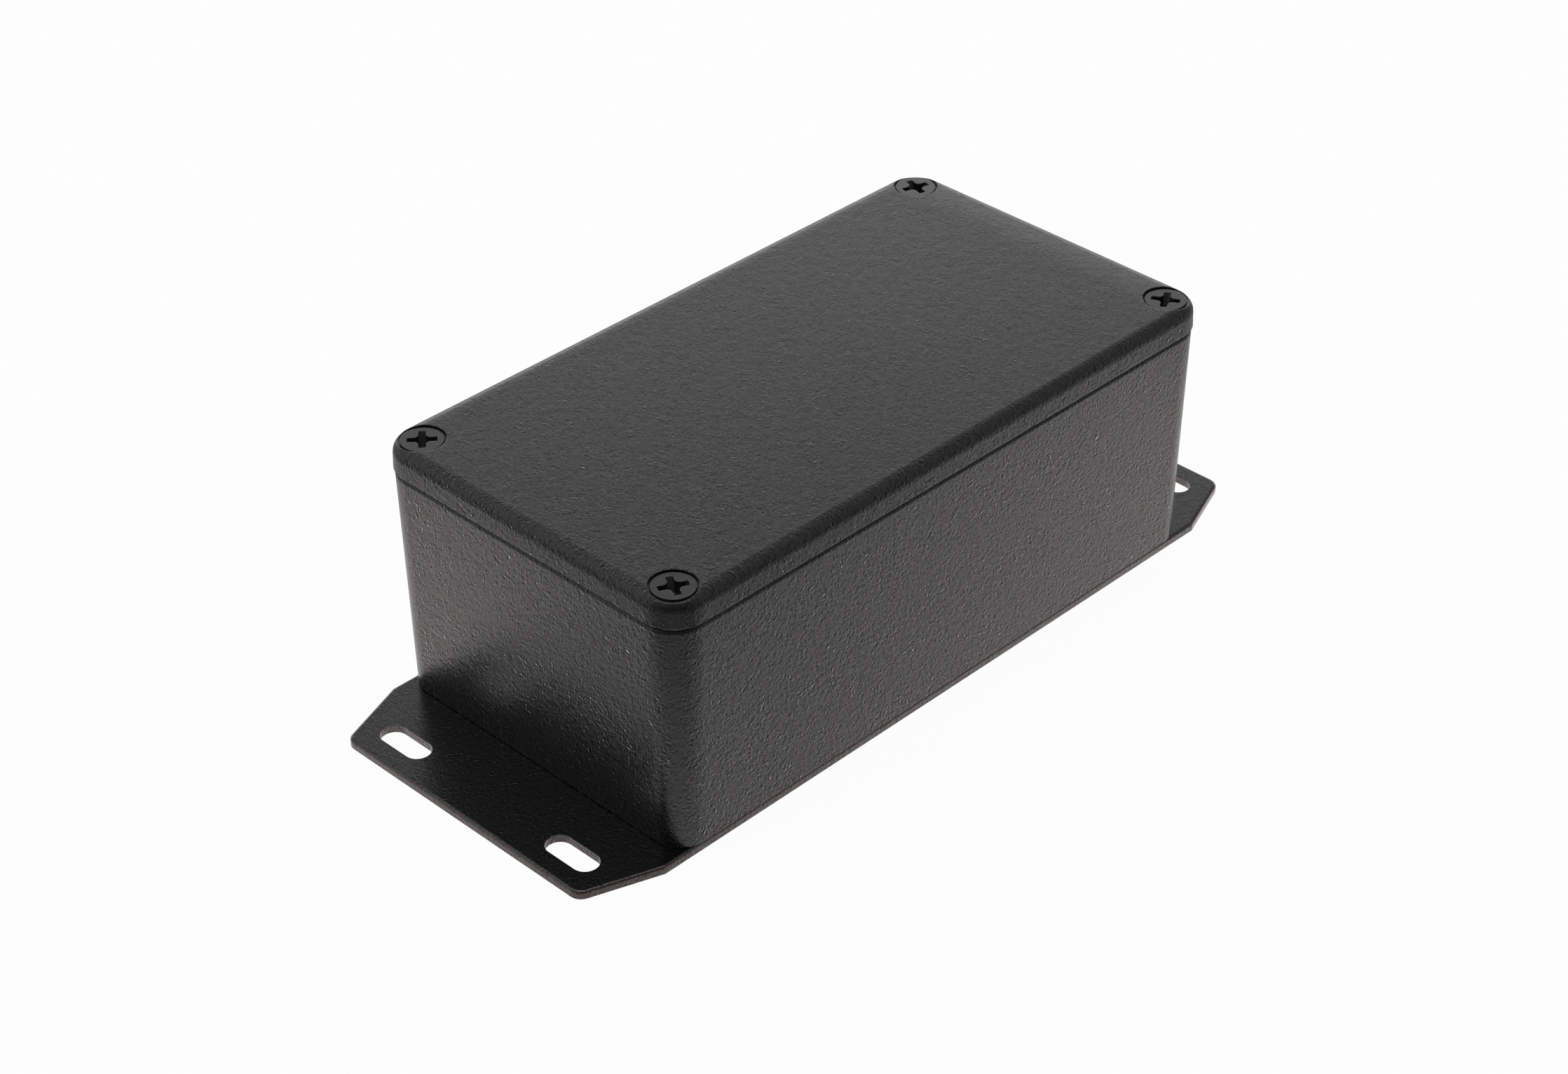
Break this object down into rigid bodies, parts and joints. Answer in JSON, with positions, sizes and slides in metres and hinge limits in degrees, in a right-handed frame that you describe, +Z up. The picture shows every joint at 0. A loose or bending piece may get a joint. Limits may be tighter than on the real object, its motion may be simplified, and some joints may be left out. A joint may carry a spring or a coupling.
{
  "type": "die cast aluminium enclosure",
  "caption": "Black coated die cast aluminium box with a rounded lid held by countersunk screws and a slotted flange plate underneath, for housing and mounting a small circuit.",
  "frame": {"origin": "middle of the flange plate's underside, in the plane that the part is mounted on", "axes": "+X across the box, +Y along it, +Z up through the lid"},
  "size_m": [0.0604, 0.1404, 0.0439],
  "materials": {
    "coated_casting": "black powder coat with a fine uneven texture, semi-matt",
    "coated_sheet": "black powder coat with a fine uneven texture, semi-matt",
    "black_screw": "smooth satin black",
    "rivet_aluminium": "plain satin"
  },
  "bodies": {
    "root": {"flange_plate": "coated_sheet", "flange_rivets": "rivet_aluminium", "base": "coated_casting", "lid": "coated_casting", "lid_screws": "black_screw"}
  },
  "joints": []
}
